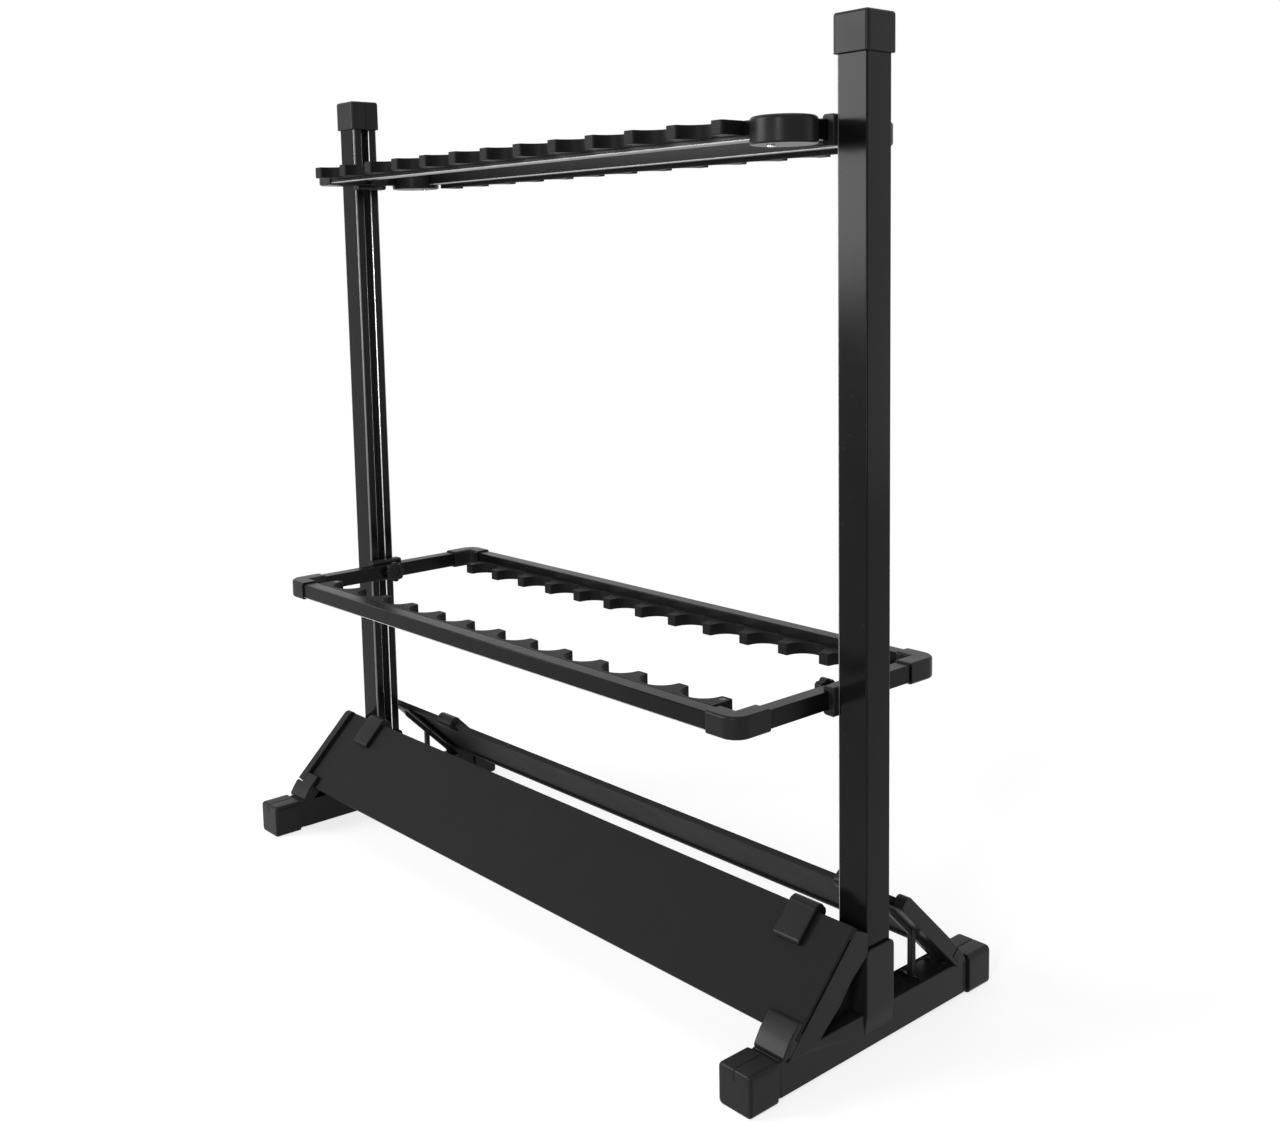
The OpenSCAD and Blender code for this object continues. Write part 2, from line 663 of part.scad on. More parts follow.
// The upper teeth point outwards
module upper_rear_rod_strip() {
    color("#141415") translate([0, upper_y, upper_top - rear_strip_drop]) rod_strip();
}
module upper_front_rod_strip() {
    color("#141415") translate([0, -upper_y, upper_top]) mirror([0, 1, 0]) rod_strip();
}
module upper_strip_screws() { color("#2a2a2c") strip_screws(upper_y, 1, upper_top); }
module upper_right_saddle() { color("#19191a") saddle(upper_saddle_half, upper_top); }
module upper_left_saddle() {
    color("#19191a") mirror([1, 0, 0]) saddle(upper_saddle_half, upper_top);
}
module upper_right_slot_nut() { color("#8b8d90") slot_nut(upper_top); }
module upper_left_slot_nut() { color("#8b8d90") mirror([1, 0, 0]) slot_nut(upper_top); }
module upper_right_knob() { color("#161617") knob(upper_top); }
module upper_left_knob() { color("#161617") mirror([1, 0, 0]) knob(upper_top); }

left_upright();
right_upright();
left_upright_cap();
right_upright_cap();
left_base_bracket();
right_base_bracket();
left_front_foot_cap();
left_rear_foot_cap();
right_front_foot_cap();
right_rear_foot_cap();
front_panel();
rear_panel();
front_left_top_hook();
front_right_top_hook();
rear_left_top_hook();
rear_right_top_hook();
front_left_bottom_clip();
front_right_bottom_clip();
rear_left_bottom_clip();
rear_right_bottom_clip();
lower_front_rail();
lower_rear_rail();
lower_left_end_tube();
lower_right_end_tube();
lower_front_left_elbow();
lower_front_right_elbow();
lower_rear_left_elbow();
lower_rear_right_elbow();
lower_front_rod_strip();
lower_rear_rod_strip();
lower_strip_screws();
lower_left_saddle();
lower_right_saddle();
lower_left_slot_nut();
lower_right_slot_nut();
lower_left_knob();
lower_right_knob();
upper_front_rail();
upper_rear_rail();
upper_left_end_tube();
upper_right_end_tube();
upper_front_left_elbow();
upper_rear_right_elbow();
upper_front_right_holder();
upper_rear_left_holder();
upper_front_rod_strip();
upper_rear_rod_strip();
upper_strip_screws();
holder_screws();
upper_left_saddle();
upper_right_saddle();
upper_left_slot_nut();
upper_right_slot_nut();
upper_left_knob();
upper_right_knob();
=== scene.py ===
# %% [markdown]
# A floor rack for fishing rods. The measured frame comes in first: every solid in it is already in
# its right place and size, in metres. This script dresses those solids.

# %% Load the frame
import json
from math import cos, pi, radians, sin

import bmesh
import bpy
from mathutils import Matrix, Vector

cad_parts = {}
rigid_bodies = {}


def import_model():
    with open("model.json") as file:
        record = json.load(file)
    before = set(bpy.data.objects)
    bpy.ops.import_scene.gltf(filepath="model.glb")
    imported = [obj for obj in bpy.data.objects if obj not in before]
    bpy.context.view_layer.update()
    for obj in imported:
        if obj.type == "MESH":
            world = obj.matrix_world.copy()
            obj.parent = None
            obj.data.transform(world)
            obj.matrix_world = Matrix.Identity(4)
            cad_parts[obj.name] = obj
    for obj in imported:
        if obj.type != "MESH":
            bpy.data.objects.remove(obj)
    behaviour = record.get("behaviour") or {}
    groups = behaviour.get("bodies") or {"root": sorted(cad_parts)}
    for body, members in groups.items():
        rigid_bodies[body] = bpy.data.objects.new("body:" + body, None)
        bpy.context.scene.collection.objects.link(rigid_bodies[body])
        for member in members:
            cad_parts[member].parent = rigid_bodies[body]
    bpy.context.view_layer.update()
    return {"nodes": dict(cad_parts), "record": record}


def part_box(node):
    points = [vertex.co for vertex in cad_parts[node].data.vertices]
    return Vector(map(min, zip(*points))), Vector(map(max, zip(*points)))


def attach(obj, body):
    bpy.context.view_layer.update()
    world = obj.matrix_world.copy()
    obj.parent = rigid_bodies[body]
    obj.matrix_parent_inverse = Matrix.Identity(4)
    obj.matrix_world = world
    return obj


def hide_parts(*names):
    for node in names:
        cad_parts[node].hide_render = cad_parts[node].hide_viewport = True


MM = 0.001

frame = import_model()
body_of = {node: body for body, nodes in frame["record"]["behaviour"]["bodies"].items() for node in nodes}
slot_of = {part["node"]: part["material_slot"] for part in frame["record"]["subparts"]}

# %% [markdown]
# The camera stands to the right of the rack, a little above its middle, and looks along it. Its
# place and turn were solved from the rack's straight edges. The picture is wider than the lens
# axis would centre it, so a small shift moves the frame instead of turning the camera.

# %% Camera
IMAGE_WIDTH = 1280
IMAGE_HEIGHT = 1131
FOCAL_PIXELS = 1440.41
LENS_AXIS = (619.60, 431.94)
CAMERA_PLACE = Vector((1.03343, -0.83699, 0.61175))
YAW = 0.85424
PITCH = 0.12026
ROLL = 0.02017
SENSOR_WIDTH = 36

forward = Vector((-sin(YAW) * cos(PITCH), cos(YAW) * cos(PITCH), -sin(PITCH)))
level = Vector((cos(YAW), sin(YAW), 0))
below = forward.cross(level)
image_right = cos(ROLL) * level + sin(ROLL) * below
image_down = -sin(ROLL) * level + cos(ROLL) * below
turn = Matrix((image_right, -image_down, -forward)).transposed().to_4x4()

lens = bpy.data.cameras.new("photo_camera")
lens.sensor_width = SENSOR_WIDTH
lens.lens = SENSOR_WIDTH * FOCAL_PIXELS / IMAGE_WIDTH
lens.shift_x = (IMAGE_WIDTH / 2 - LENS_AXIS[0]) / IMAGE_WIDTH
lens.shift_y = (LENS_AXIS[1] - IMAGE_HEIGHT / 2) / IMAGE_WIDTH
camera = bpy.data.objects.new("photo_camera", lens)
camera.matrix_world = Matrix.Translation(CAMERA_PLACE) @ turn
bpy.context.scene.collection.objects.link(camera)
bpy.context.scene.camera = camera
print("lens", round(lens.lens, 2), "shift", round(lens.shift_x, 4), round(lens.shift_y, 4))

# %% [markdown]
# The rack stands in a plain studio. As light the world is dim, so that black faces stay black and
# the lamps do the modelling. What the camera sees of it is white, and gloss shows the same white. A
# Light Path node tells those rays from the light, and the floor will use the same helper.

# %% World
SEEN_STRENGTH = 1
ROOM_STRENGTH = 0.27


def mixed_by_ray(tree, seen, lit):
    """Mix shader that shows `seen` to camera, glossy and transmission rays and `lit` to all others."""
    path = tree.nodes.new("ShaderNodeLightPath")
    either = tree.nodes.new("ShaderNodeMath")
    either.operation = "MAXIMUM"
    tree.links.new(path.outputs["Is Camera Ray"], either.inputs[0])
    tree.links.new(path.outputs["Is Glossy Ray"], either.inputs[1])
    any_of = tree.nodes.new("ShaderNodeMath")
    any_of.operation = "MAXIMUM"
    tree.links.new(either.outputs[0], any_of.inputs[0])
    tree.links.new(path.outputs["Is Transmission Ray"], any_of.inputs[1])
    mix = tree.nodes.new("ShaderNodeMixShader")
    tree.links.new(any_of.outputs[0], mix.inputs[0])
    tree.links.new(lit.outputs[0], mix.inputs[1])
    tree.links.new(seen.outputs[0], mix.inputs[2])
    return mix


scene = bpy.context.scene
scene.view_settings.view_transform = "Standard"
world = bpy.data.worlds.new("studio")
world.use_nodes = True
scene.world = world
tree = world.node_tree
tree.nodes.clear()
white_background = tree.nodes.new("ShaderNodeBackground")
white_background.inputs["Color"].default_value = (1, 1, 1, 1)
white_background.inputs["Strength"].default_value = SEEN_STRENGTH
room = tree.nodes.new("ShaderNodeBackground")
room.inputs["Color"].default_value = (1, 1, 1, 1)
room.inputs["Strength"].default_value = ROOM_STRENGTH
world_out = tree.nodes.new("ShaderNodeOutputWorld")
tree.links.new(mixed_by_ray(tree, white_background, room).outputs[0], world_out.inputs["Surface"])
print("world ready")

# %% [markdown]
# Black parts show themselves mostly by what they reflect. Each lamp is a flat panel that faces the
# rack. Blender spreads a lamp's watts over its area, so the helper asks for the brightness of the
# panel's surface and works the watts out from its size. A flat glossy face is a weak mirror: the
# broad panel stands where the front of the right upright looks for its light, and its lower end makes
# that face fade to black half way down. The narrow one draws the vertical highlights on the round
# holder and along rounded edges, a dim one behind to the right lifts the faces that look to the
# right, and one overhead lifts the top faces.

# %% Lamps
def softbox(name, place, target, width, height, brightness):
    lamp = bpy.data.lights.new(name, "AREA")
    lamp.shape = "RECTANGLE"
    lamp.size = width
    lamp.size_y = height
    lamp.energy = brightness * pi * width * height
    lamp_stand = bpy.data.objects.new(name, lamp)
    aim = Vector(target) - Vector(place)
    lamp_stand.matrix_world = Matrix.Translation(place) @ aim.to_track_quat("-Z", "Y").to_matrix().to_4x4()
    bpy.context.scene.collection.objects.link(lamp_stand)
    print(name, round(lamp.energy, 1), "W")


softbox("softbox_front_left", place=(-1.75, -2.55, 1.36), target=(0.35, 0, 0.85),
        width=1.5, height=1.7, brightness=10.5)
softbox("strip_light_front", place=(1.16, -1.95, 0.85), target=(0.3, 0, 0.6),
        width=0.22, height=1.2, brightness=20)
softbox("softbox_rear_right", place=(1.9, 1.75, 0.7), target=(0.35, 0, 0.3),
        width=1.5, height=1.3, brightness=0.6)
softbox("softbox_overhead", place=(0, 0.2, 2.6), target=(0, 0, 0.3),
        width=2.2, height=1.6, brightness=1)

# %% [markdown]
# The floor is a wide pale sheet. Lit on its own it would end in a grey horizon, so its paint glows a
# little for the camera, and away from the rack it turns wholly into white glow. Near the feet most
# of it is lit by the lamps, and there the rack's soft shadow stays on it.

# %% Floor
FLOOR_RADIUS = 7
FLOOR_GLOW = 0.76
SHADOW_ENDS = (0.55, 1.15)

floor_shape = bmesh.new()
bmesh.ops.create_circle(floor_shape, cap_ends=True, segments=96, radius=FLOOR_RADIUS)
floor_mesh = bpy.data.meshes.new("floor")
floor_shape.to_mesh(floor_mesh)
floor_shape.free()
floor = bpy.data.objects.new("floor", floor_mesh)
scene.collection.objects.link(floor)

floor_paint = bpy.data.materials.new("floor_paint")
floor_paint.use_nodes = True
tree = floor_paint.node_tree
tree.nodes.clear()
pale = tree.nodes.new("ShaderNodeBsdfDiffuse")
pale.inputs["Color"].default_value = (0.8, 0.8, 0.8, 1)
shadow_part = tree.nodes.new("ShaderNodeBsdfDiffuse")
shadow_part.inputs["Color"].default_value = (0.42, 0.42, 0.42, 1)
glow = tree.nodes.new("ShaderNodeEmission")
glow.inputs["Strength"].default_value = FLOOR_GLOW
near_floor = tree.nodes.new("ShaderNodeAddShader")
tree.links.new(shadow_part.outputs[0], near_floor.inputs[0])
tree.links.new(glow.outputs[0], near_floor.inputs[1])
far_floor = tree.nodes.new("ShaderNodeEmission")
floor_place = tree.nodes.new("ShaderNodeTexCoord")
distance = tree.nodes.new("ShaderNodeVectorMath")
distance.operation = "LENGTH"
tree.links.new(floor_place.outputs["Object"], distance.inputs[0])
fade = tree.nodes.new("ShaderNodeMapRange")
fade.interpolation_type = "SMOOTHSTEP"
fade.inputs["From Min"].default_value = SHADOW_ENDS[0]
fade.inputs["From Max"].default_value = SHADOW_ENDS[1]
tree.links.new(distance.outputs["Value"], fade.inputs["Value"])
seen_floor = tree.nodes.new("ShaderNodeMixShader")
tree.links.new(fade.outputs["Result"], seen_floor.inputs[0])
tree.links.new(near_floor.outputs[0], seen_floor.inputs[1])
tree.links.new(far_floor.outputs[0], seen_floor.inputs[2])
floor_out = tree.nodes.new("ShaderNodeOutputMaterial")
tree.links.new(mixed_by_ray(tree, seen_floor, pale).outputs[0], floor_out.inputs["Surface"])
floor_mesh.materials.append(floor_paint)
print("floor", len(floor_mesh.polygons), "face")

# %% [markdown]
# All finishes are nearly the same black, so what tells them apart is the surface: how wide the
# gloss spreads, and how fine its grain is. Pictures of a surface could do that, but noise needs no
# files and has no seams. Three small helpers do the work: noise on the object's own coordinates, a
# stretch of its middle values to a wanted range, and a blend of two colours. Specks are the few
# lighter grains that a coating shows in strong light, and a noise breaks up the painted highlights.

# %% Patterns on a surface
CLOUD_SCALE = 22
HIGHLIGHT_BREAKUP_SCALE = 160
SPECK = 2.2 * MM
SPECK_FROM = 0.74
SPECK_FULL = 0.8
HIGHLIGHT_BREAKUP_LEAST = 0.8
RELIEF_STRENGTH = 0.6


def noise_on(nodes, link, source, scale, detail):
    noise = nodes.new("ShaderNodeTexNoise")
    noise.inputs["Scale"].default_value = scale
    noise.inputs["Detail"].default_value = detail
    link(source, noise.inputs["Vector"])
    return noise.outputs["Fac"]


def stretched(nodes, link, value, low, high, to_low, to_high):
    spread = nodes.new("ShaderNodeMapRange")
    for socket, number in zip(("From Min", "From Max", "To Min", "To Max"), (low, high, to_low, to_high)):
        spread.inputs[socket].default_value = number
    link(value, spread.inputs["Value"])
    return spread.outputs["Result"]


def blend_of(nodes, link, factor, first, second):
    mix = nodes.new("ShaderNodeMix")
    mix.data_type = "RGBA"
    link(factor, mix.inputs["Factor"])
    for socket, value in (("A", first), ("B", second)):
        if isinstance(value, tuple):
            mix.inputs[socket].default_value = value + (1,)
        else:
            link(value, mix.inputs[socket])
    return mix.outputs["Result"]


print("pattern helpers ready")

# %% [markdown]
# The real finishes are anodised posts, coated tubes, matt panels and fine-grained mouldings. Each is
# one Principled shader on the same three patterns: a fine grain that drives roughness and relief, a
# slow cloud that lets tone and gloss wander, and where wanted the specks and painted highlights on
# edges. One function for all keeps them related, as they are on the rack, and only the numbers differ.

# %% One finish
def finish_of(name, colour, roughness, spread, grain, relief, metallic=0.0, specular=0.5, wander=0.25,
              specks=None, painted_light=None):
    """Grain is the pattern's size and relief its height, both in millimetres."""
    paint = bpy.data.materials.new(name)
    paint.use_nodes = True
    nodes = paint.node_tree.nodes
    link = paint.node_tree.links.new
    shader = nodes["Principled BSDF"]
    shader.inputs["Metallic"].default_value = metallic
    shader.inputs["Specular IOR Level"].default_value = specular
    place = nodes.new("ShaderNodeTexCoord").outputs["Object"]
    fine = noise_on(nodes, link, place, 1 / (grain * MM), 3)
    cloud = noise_on(nodes, link, place, CLOUD_SCALE, 4)
    rough_grain = stretched(nodes, link, fine, 0.3, 0.7, roughness - spread, roughness + spread)
    drift = stretched(nodes, link, cloud, 0.35, 0.65, -0.5 * spread, 0.5 * spread)
    rough = nodes.new("ShaderNodeMath")
    link(rough_grain, rough.inputs[0])
    link(drift, rough.inputs[1])
    link(rough.outputs[0], shader.inputs["Roughness"])
    bump = nodes.new("ShaderNodeBump")
    bump.inputs["Strength"].default_value = RELIEF_STRENGTH
    bump.inputs["Distance"].default_value = relief * MM
    link(fine, bump.inputs["Height"])
    link(bump.outputs["Normal"], shader.inputs["Normal"])
    tone = blend_of(nodes, link, cloud, tuple(c * (1 - wander) for c in colour),
                    tuple(c * (1 + wander) for c in colour))
    if specks:
        dots = noise_on(nodes, link, place, 1 / SPECK, 1)
        tone = blend_of(nodes, link, stretched(nodes, link, dots, SPECK_FROM, SPECK_FULL, 0, 1), tone, specks)
    # Painted light: where the colour layer marks an edge, a pale metallic colour paints its highlight, broken
    # up by noise.
    if painted_light:
        marked = nodes.new("ShaderNodeVertexColor")
        marked.layer_name = "painted_light"
        patches = noise_on(nodes, link, place, HIGHLIGHT_BREAKUP_SCALE, 3)
        highlight_breakup = stretched(nodes, link, patches, 0.25, 0.55, HIGHLIGHT_BREAKUP_LEAST, 1)
        amount = nodes.new("ShaderNodeMath")
        amount.operation = "MULTIPLY"
        link(marked.outputs["Color"], amount.inputs[0])
        link(highlight_breakup, amount.inputs[1])
        tone = blend_of(nodes, link, amount.outputs[0], tone, painted_light)
        link(amount.outputs[0], shader.inputs["Metallic"])
    link(tone, shader.inputs["Base Color"])
    return paint


print("finish helper ready")

# %% [markdown]
# The table has one finish for each material slot of the record. The black tones hardly differ, so
# the gloss tells the pieces apart: the posts are the smoothest, the panels the dullest. The specular
# level is low, because gloss sees a white studio here, and a black coat with full gloss would look
# grey in it.

# %% Table of finishes
# The pale last colours of the post and tube finishes are painted highlights for their edges.
paints = {
    "coated_post": finish_of(
        "coated_post", (0.005, 0.005, 0.0053), roughness=0.17, spread=0.03, grain=0.55, relief=0.005,
        specular=0.105, specks=(0.022, 0.022, 0.023), painted_light=(0.9, 0.9, 0.91)),
    "coated_tube": finish_of(
        "coated_tube", (0.005, 0.005, 0.0053), roughness=0.3, spread=0.05, grain=0.8, relief=0.012,
        specular=0.1, specks=(0.02, 0.02, 0.021), painted_light=(0.85, 0.85, 0.86)),
    "panel_black": finish_of(
        "panel_black", (0.0145, 0.0145, 0.0152), roughness=0.65, spread=0.05, grain=0.6, relief=0.015,
        specular=0.07),
    "moulded_black": finish_of(
        "moulded_black", (0.0125, 0.0125, 0.013), roughness=0.34, spread=0.06, grain=0.5, relief=0.02,
        specular=0.12),
    "strip_black": finish_of(
        "strip_black", (0.006, 0.006, 0.0063), roughness=0.5, spread=0.07, grain=0.5, relief=0.02,
        specular=0.1),
    "knob_black": finish_of(
        "knob_black", (0.009, 0.009, 0.0094), roughness=0.4, spread=0.06, grain=0.4, relief=0.02,
        specular=0.14),
    "zinc_steel": finish_of(
        "zinc_steel", (0.42, 0.43, 0.45), roughness=0.34, spread=0.08, grain=1.2, relief=0.02,
        metallic=1.0, wander=0.12),
    "bright_screw": finish_of(
        "bright_screw", (0.8, 0.8, 0.81), roughness=0.22, spread=0.05, grain=0.6, relief=0.01,
        metallic=1.0, wander=0.08),
    "black_screw": finish_of(
        "black_screw", (0.03, 0.03, 0.032), roughness=0.3, spread=0.06, grain=0.4, relief=0.01,
        metallic=0.6),
}
print("finishes", sorted(paints))

# %% [markdown]
# A finished shape becomes an object that rides on a body of the frame, takes its finish from a slot
# of the record and stands in for a measured solid. All faces are smooth shaded. A Weighted Normal
# modifier lets the largest face at each corner decide, so the broad faces stay flat in the light and
# only the rounded edges turn.

# %% From a shape to a piece
def as_piece(shape, name, node):
    """Turn a bmesh into an object that rides with `node` and wears its finish."""
    mesh = bpy.data.meshes.new(name)
    for face in shape.faces:
        face.smooth = True
    shape.to_mesh(mesh)
    shape.free()
    piece = bpy.data.objects.new(name, mesh)
    bpy.context.scene.collection.objects.link(piece)
    mesh.materials.append(paints[slot_of[node]])
    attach(piece, body_of[node])
    return piece


def weigh_faces(piece):
    weighted = piece.modifiers.new("face_weights", "WEIGHTED_NORMAL")
    weighted.mode = "FACE_AREA"
    weighted.keep_sharp = True


def stand_in(shape, node):
    """The shape takes the place of the measured solid `node`."""
    piece = as_piece(shape, node + "_dressed", node)
    weigh_faces(piece)
    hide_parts(node)


print("piece helpers ready")

# %% [markdown]
# Many pieces are straight lengths of one outline: a tube, an elbow, an upright. Such a shape starts
# as one flat face that an extrusion pushes along an axis. A bevel on chosen edges then rounds it:
# the edges are chosen by a small test, because it reads more easily than a list of numbers.

# %% Outlines and rounding
AXES = {"x": Vector((1, 0, 0)), "y": Vector((0, 1, 0)), "z": Vector((0, 0, 1))}


def pushed(outline, start, end):
    """Solid of an (x, y) outline between two heights, all in metres."""
    shape = bmesh.new()
    face = shape.faces.new([shape.verts.new((x, y, start)) for x, y in outline])
    grown = bmesh.ops.extrude_face_region(shape, geom=[face])
    tops = [part for part in grown["geom"] if isinstance(part, bmesh.types.BMVert)]
    bmesh.ops.translate(shape, verts=tops, vec=(0, 0, end - start))
    bmesh.ops.recalc_face_normals(shape, faces=shape.faces)
    return shape


def box_shape(low, high):
    shape = bmesh.new()
    bmesh.ops.create_cube(shape, size=1)
    bmesh.ops.scale(shape, verts=shape.verts, vec=Vector(high) - Vector(low))
    bmesh.ops.translate(shape, verts=shape.verts, vec=(Vector(low) + Vector(high)) / 2)
    return shape


def rounded(shape, chosen, radius, segments):
    """Round the edges for which chosen(first end, second end) holds."""
    edges = [edge for edge in shape.edges if chosen(edge.verts[0].co, edge.verts[1].co)]
    bmesh.ops.bevel(shape, geom=edges, offset=radius, offset_type="OFFSET", affect="EDGES",
                    segments=segments, profile=0.5, material=-1, clamp_overlap=True)


def near(a, b):
    """Equal within a hair: the frame's numbers are rounded a little."""
    return abs(a - b) < 0.02 * MM


print("outline helpers ready")

# %% [markdown]
# The uprights are square aluminium tube with a slot in the side that faces the rack. Their outline
# is a C with twelve corners. The corners of the square get a wide rounding and the lips of the slot
# a small one. A colour layer marks the corners of the slotted side a little and the cut edge of the
# slot fully, and the finish paints a pale metallic highlight there, the bright lines that light draws
# along those edges; at the slot's edge it is partly bare metal too. Inside the tube a little of it is
# painted light that lifts the shade.

# %% Uprights
POST_HALF = 14 * MM
POST_INSIDE = 12.2 * MM
SLOT_HALF = 4 * MM
CORNER_ROUNDING = 1.4 * MM
LIP_ROUNDING = 1.3 * MM
# Shares of painted light: a highlight on the corners, a lift of the shade inside the tube, and a highlight on
# the slot's edge.
CORNER_HIGHLIGHT = 0.25
INSIDE_LIGHTENING = 0.15
SLOT_EDGE_HIGHLIGHT = 1


def upright(node, inward):
    """inward is 1 or -1: the side along x that the slot is in."""
    low, high = [Vector(corner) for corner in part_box(node)]
    middle = (low.x + high.x) / 2
    turns = [(POST_HALF, -SLOT_HALF), (POST_HALF, -POST_HALF), (-POST_HALF, -POST_HALF),
             (-POST_HALF, POST_HALF), (POST_HALF, POST_HALF), (POST_HALF, SLOT_HALF),
             (POST_INSIDE, SLOT_HALF), (POST_INSIDE, POST_INSIDE), (-POST_INSIDE, POST_INSIDE),
             (-POST_INSIDE, -POST_INSIDE), (POST_INSIDE, -POST_INSIDE), (POST_INSIDE, -SLOT_HALF)]
    shape = pushed([(middle + inward * u, v) for u, v in turns], low.z, high.z)
    painted_light = shape.loops.layers.float_color.new("painted_light")

    def standing(a, b):
        return near(a.x, b.x) and near(a.y, b.y)

    def corner(a, b):
        return standing(a, b) and near(abs(a.x - middle), POST_HALF) and near(abs(a.y), POST_HALF)

    def lip(a, b):
        return standing(a, b) and near((a.x - middle) * inward, POST_HALF) and near(abs(a.y), SLOT_HALF)

    rounded(shape, corner, CORNER_ROUNDING, 4)
    rounded(shape, lip, LIP_ROUNDING, 4)
    # Painted highlights on the slotted side's corners and the slot's edge, and painted light inside the tube.
    for face in shape.faces:
        spot = face.calc_center_median()
        out = (spot.x - middle) * inward
        painted_amount = 0
        if min(out, abs(spot.y)) > POST_HALF - CORNER_ROUNDING + 0.2 * MM:
            painted_amount = CORNER_HIGHLIGHT
        if max(abs(spot.x - middle), abs(spot.y)) < POST_INSIDE + 0.1 * MM:
            painted_amount = INSIDE_LIGHTENING
        if out > POST_INSIDE and abs(spot.y) < SLOT_HALF + LIP_ROUNDING / 2:
            painted_amount = SLOT_EDGE_HIGHLIGHT
        for loop in face.loops:
            loop[painted_light] = (painted_amount, painted_amount, painted_amount, 1)
    stand_in(shape, node)


upright("left_upright", 1)
upright("right_upright", -1)
print("uprights, slot", round(2 * SLOT_HALF / MM, 1), "mm wide")

# %% [markdown]
# The six end caps are one soft-edged moulding: a square cup with wide corner rounding. A cube is
# scaled to the cap's box, its four long edges are rounded first, then the rim of the closed end, then
# the mouth. The moulded line runs along one side and a little way over the closed end. Three cuts
# part its strip from the faces around it, and an inset sinks it.

# %% End caps
TOP_CAP_EDGE = 2.8 * MM
FOOT_CAP_EDGE = 4.2 * MM
CLOSED_RIM = 2.6 * MM
MOUTH_RIM = 0.7 * MM
LINE_HALF = 0.8 * MM
LINE_START = 9 * MM
LINE_DEPTH = 0.6 * MM


def end_cap(node, closed, line):
    """closed and line are unit vectors: to the closed end, and out of the side with the line."""
    low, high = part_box(node)
    shape = box_shape(low, high)
    centre = (Vector(low) + Vector(high)) / 2
    half = (Vector(high) - Vector(low)) / 2
    reach = abs(half.dot(closed))
    side = abs(half.dot(line))
    across = closed.cross(line)

    def along(a, b):
        return abs((b - a).normalized().dot(closed)) > 0.99

    def closed_rim(a, b):
        return all(near((p - centre).dot(closed), reach) for p in (a, b))

    def mouth_rim(a, b):
        return all(near((p - centre).dot(closed), -reach) for p in (a, b))

    rounded(shape, along, TOP_CAP_EDGE if closed.z else FOOT_CAP_EDGE, 5)
    rounded(shape, closed_rim, CLOSED_RIM, 4)
    rounded(shape, mouth_rim, MOUTH_RIM, 2)
    for place, normal in ((across * LINE_HALF, across), (-across * LINE_HALF, across),
                          (line * (side - LINE_START), line)):
        bmesh.ops.bisect_plane(shape, geom=shape.verts[:] + shape.edges[:] + shape.faces[:],
                               plane_co=centre + place, plane_no=normal)
    strip = []
    for face in shape.faces:
        spot = face.calc_center_median() - centre
        in_band = abs(spot.dot(across)) < LINE_HALF and spot.dot(line) > side - LINE_START
        if in_band and spot.dot(closed) > -reach + MOUTH_RIM + 0.1 * MM:
            strip.append(face)
    bmesh.ops.inset_region(shape, faces=strip, thickness=0.2 * MM, depth=-LINE_DEPTH,
                           use_even_offset=True, use_boundary=True)
    stand_in(shape, node)


end_cap("left_upright_cap", AXES["z"], AXES["x"])
end_cap("right_upright_cap", AXES["z"], -AXES["x"])
for side in ("left", "right"):
    end_cap(side + "_front_foot_cap", -AXES["y"], AXES["z"])
    end_cap(side + "_rear_foot_cap", AXES["y"], AXES["z"])
print("end caps", 6)

# %% [markdown]
# The corner elbows are an L seen from above, with a wide round outer corner. The L is pushed up to
# its height, the outer corner is rounded, then the long upper and lower edges. The tubes disappear
# into the elbow, so it can be a closed solid.

# %% Elbows
ELBOW_ARM = 17.05 * MM
ELBOW_BEND = 15 * MM
ELBOW_EDGE = 2.2 * MM
ELBOW_MOUTH = 0.5 * MM


def elbow(node, to_x, to_y):
    """to_x and to_y are 1 or -1: the outer corner's side along x and y."""
    low, high = [Vector(corner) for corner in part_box(node)]
    corner_x = high.x if to_x > 0 else low.x
    corner_y = high.y if to_y > 0 else low.y
    long_x = high.x - low.x
    long_y = high.y - low.y
    turns = [(0, 0), (long_x, 0), (long_x, ELBOW_ARM),
             (ELBOW_ARM, ELBOW_ARM), (ELBOW_ARM, long_y), (0, long_y)]
    shape = pushed([(corner_x - to_x * u, corner_y - to_y * v) for u, v in turns], low.z, high.z)
    end_x = corner_x - to_x * long_x
    end_y = corner_y - to_y * long_y

    def outer_corner(a, b):
        return all(near(p.x, corner_x) and near(p.y, corner_y) for p in (a, b))

    def mouth(a, b):
        return all(near(p.x, end_x) for p in (a, b)) or all(near(p.y, end_y) for p in (a, b))

    def long_edge(a, b):
        return near(a.z, b.z) and not mouth(a, b)

    rounded(shape, outer_corner, ELBOW_BEND, 12)
    rounded(shape, long_edge, ELBOW_EDGE, 4)
    rounded(shape, mouth, ELBOW_MOUTH, 2)
    stand_in(shape, node)


elbow("lower_front_left_elbow", -1, -1)
elbow("lower_front_right_elbow", 1, -1)
elbow("lower_rear_left_elbow", -1, 1)
elbow("lower_rear_right_elbow", 1, 1)
elbow("upper_front_left_elbow", -1, -1)
elbow("upper_rear_right_elbow", 1, 1)
print("elbows", 6)

# %% [markdown]
# The long rails are straight bars whose ends disappear in the corners, so a stretched cube with
# rounded long edges is enough. Along their lower front edge a painted highlight draws the bright line
# that light puts there: that rounding gets the pale metallic colour.

# %% Rails
RAIL_EDGE = 1.0 * MM
LOWER_EDGE_HIGHLIGHT = 0.6


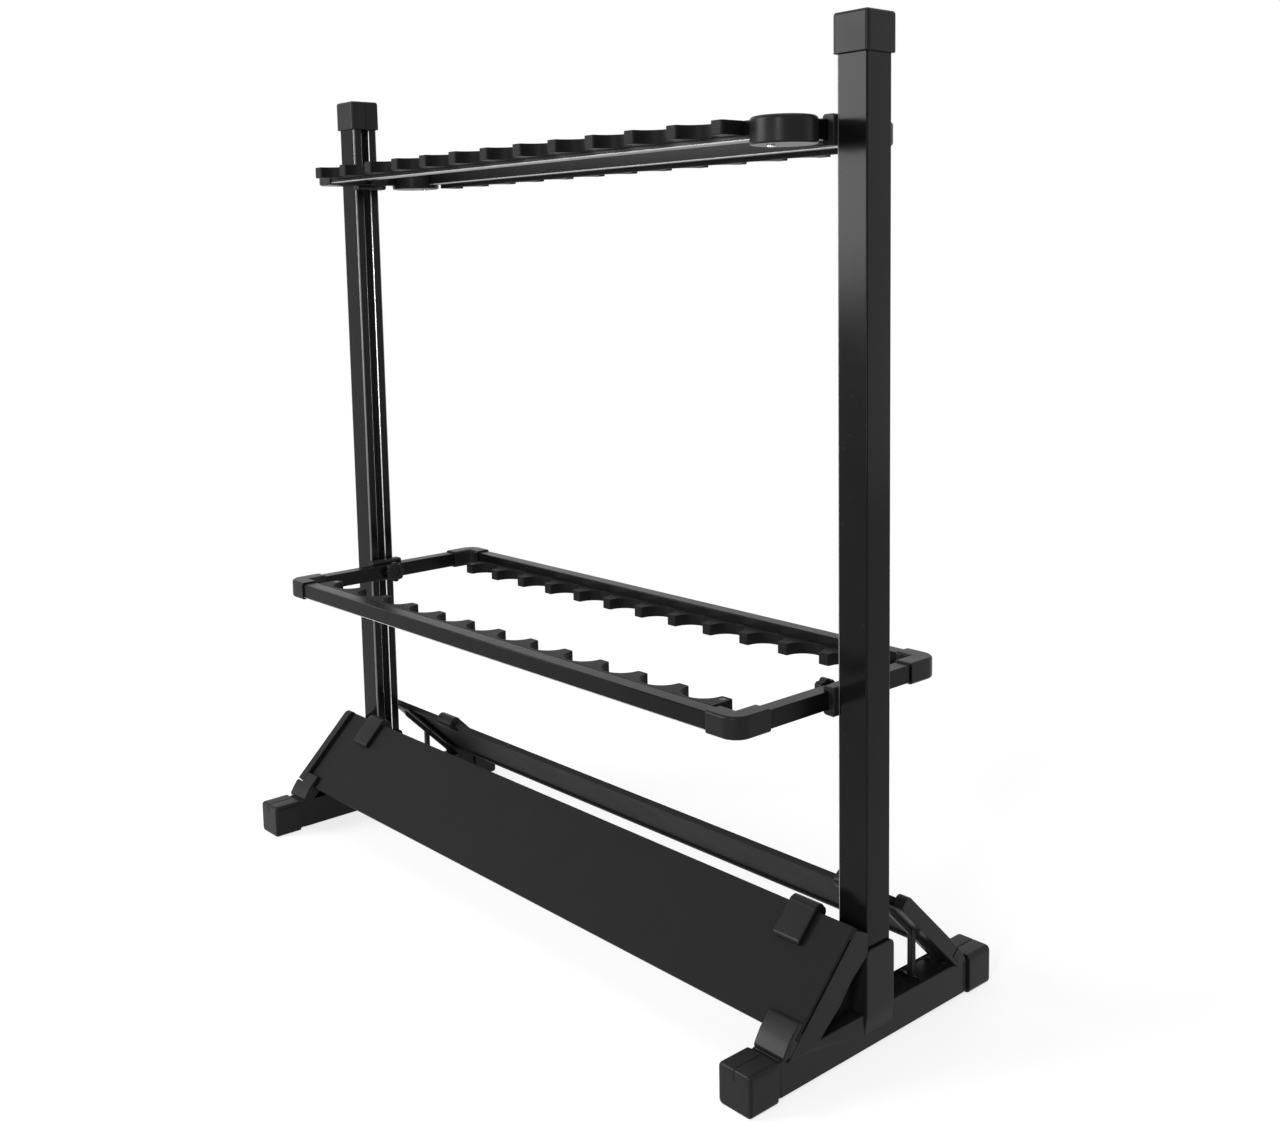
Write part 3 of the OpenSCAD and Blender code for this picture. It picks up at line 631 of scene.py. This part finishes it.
def rail(node):
    low, high = [Vector(corner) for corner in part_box(node)]
    shape = box_shape(low, high)
    painted_light = shape.loops.layers.float_color.new("painted_light")

    def lengthwise(a, b):
        return near(a.y, b.y) and near(a.z, b.z)

    rounded(shape, lengthwise, RAIL_EDGE, 4)
    # The lower front rounding gets a painted highlight.
    for face in shape.faces:
        face.normal_update()
        painted_amount = LOWER_EDGE_HIGHLIGHT if face.normal.z < -0.1 and face.normal.y < -0.1 else 0
        for loop in face.loops:
            loop[painted_light] = (painted_amount, painted_amount, painted_amount, 1)
    stand_in(shape, node)
    return high.x - low.x


for rack in ("lower", "upper"):
    print(rack, "rail length", round(rail(rack + "_front_rail") / MM, 1), "mm")
    rail(rack + "_rear_rail")

# %% [markdown]
# The two round corner holders are turned shapes. A profile of three edges is spun round the holder's
# axis, the seam and the poles are merged, and the two rims are rounded, the upper one more.

# %% Round corner holders
HOLDER_TOP_RIM = 3.2 * MM
HOLDER_LOWER_RIM = 1.6 * MM


def holder(node):
    low, high = [Vector(corner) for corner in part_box(node)]
    axis = (low + high) / 2
    radius = (high.x - low.x) / 2
    shape = bmesh.new()
    rim = [shape.verts.new((axis.x + r, axis.y, z)) for r, z in
           ((0, low.z), (radius, low.z), (radius, high.z), (0, high.z))]
    edges = [shape.edges.new(pair) for pair in zip(rim, rim[1:])]
    bmesh.ops.spin(shape, geom=rim + edges, cent=axis, axis=AXES["z"], angle=2 * pi, steps=96,
                   use_merge=True)
    bmesh.ops.remove_doubles(shape, verts=shape.verts, dist=0.001 * MM)
    bmesh.ops.recalc_face_normals(shape, faces=shape.faces)

    def at_rim(level):
        return lambda a, b: all(near(p.z, level) and near((p - axis).xy.length, radius) for p in (a, b))

    rounded(shape, at_rim(high.z), HOLDER_TOP_RIM, 5)
    rounded(shape, at_rim(low.z), HOLDER_LOWER_RIM, 3)
    stand_in(shape, node)
    return radius


print("holder radius", round(holder("upper_front_right_holder") / MM, 2), "mm")
holder("upper_rear_left_holder")

# %% [markdown]
# A moulding or an extrusion never has a knife edge. The brackets, panels, hooks, clips, rod strips,
# tubes, saddles, nuts, screws and knobs could all be modelled again, but their measured solids are
# right. So a copy of each has its loose triangles merged into whole faces, and a weight marks every
# outward edge for a small Bevel. Inward corners stay sharp. The base bracket's faces have so many
# corners that they are cut into triangles again first.

# %% A merged copy with its edges marked
MERGE_DISTANCE = 0.03 * MM
FLAT_WITHIN = radians(0.6)
EDGE_ANGLE = radians(28)


def merged_copy(node):
    shape = bmesh.new()
    shape.from_mesh(frame["nodes"][node].data)
    bmesh.ops.remove_doubles(shape, verts=shape.verts, dist=MERGE_DISTANCE)
    bmesh.ops.dissolve_limit(shape, angle_limit=FLAT_WITHIN, verts=shape.verts, edges=shape.edges)
    if node.endswith("bracket"):
        many_sided = [face for face in shape.faces if len(face.verts) > 4]
        bmesh.ops.triangulate(shape, faces=many_sided, ngon_method="EAR_CLIP")
    weight = shape.edges.layers.float.new("bevel_weight_edge")
    for edge in shape.edges:
        turned = len(edge.link_faces) == 2 and edge.calc_face_angle() > EDGE_ANGLE
        if turned and edge.is_convex:
            edge[weight] = 1
        elif turned:
            edge.smooth = False
    return shape


print("copy helper ready")

# %% [markdown]
# How far an edge is eased depends on the piece: a hook is a thick soft moulding, the lip of a tube is
# hardly broken. The widths are in millimetres and go by the last word of the piece's name. Every
# piece that no shape above stands in for gets its eased copy here.

# %% Eased copies of the measured solids
def eased(node, width):
    """Copy of a measured solid with its outward edges rounded; width in millimetres."""
    piece = as_piece(merged_copy(node), node + "_eased", node)
    bevel = piece.modifiers.new("eased_edges", "BEVEL")
    bevel.width = width * MM
    bevel.segments = 3
    bevel.limit_method = "WEIGHT"
    bevel.use_clamp_overlap = False
    weigh_faces(piece)
    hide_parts(node)


edge_width = {
    "bracket": 0.8, "panel": 0.5, "hook": 1.1, "clip": 0.9, "tube": 0.3, "strip": 0.5, "screws": 0.25,
    "saddle": 0.7, "nut": 0.3, "knob": 0.6,
}
done = {name.removesuffix("_dressed") for name in bpy.data.objects.keys() if name.endswith("_dressed")}
for node in sorted(set(body_of) - done):
    kind = node.split("_")[-1]
    eased(node, edge_width[kind])
print("dressed", len(done), "eased", len(body_of) - len(done))
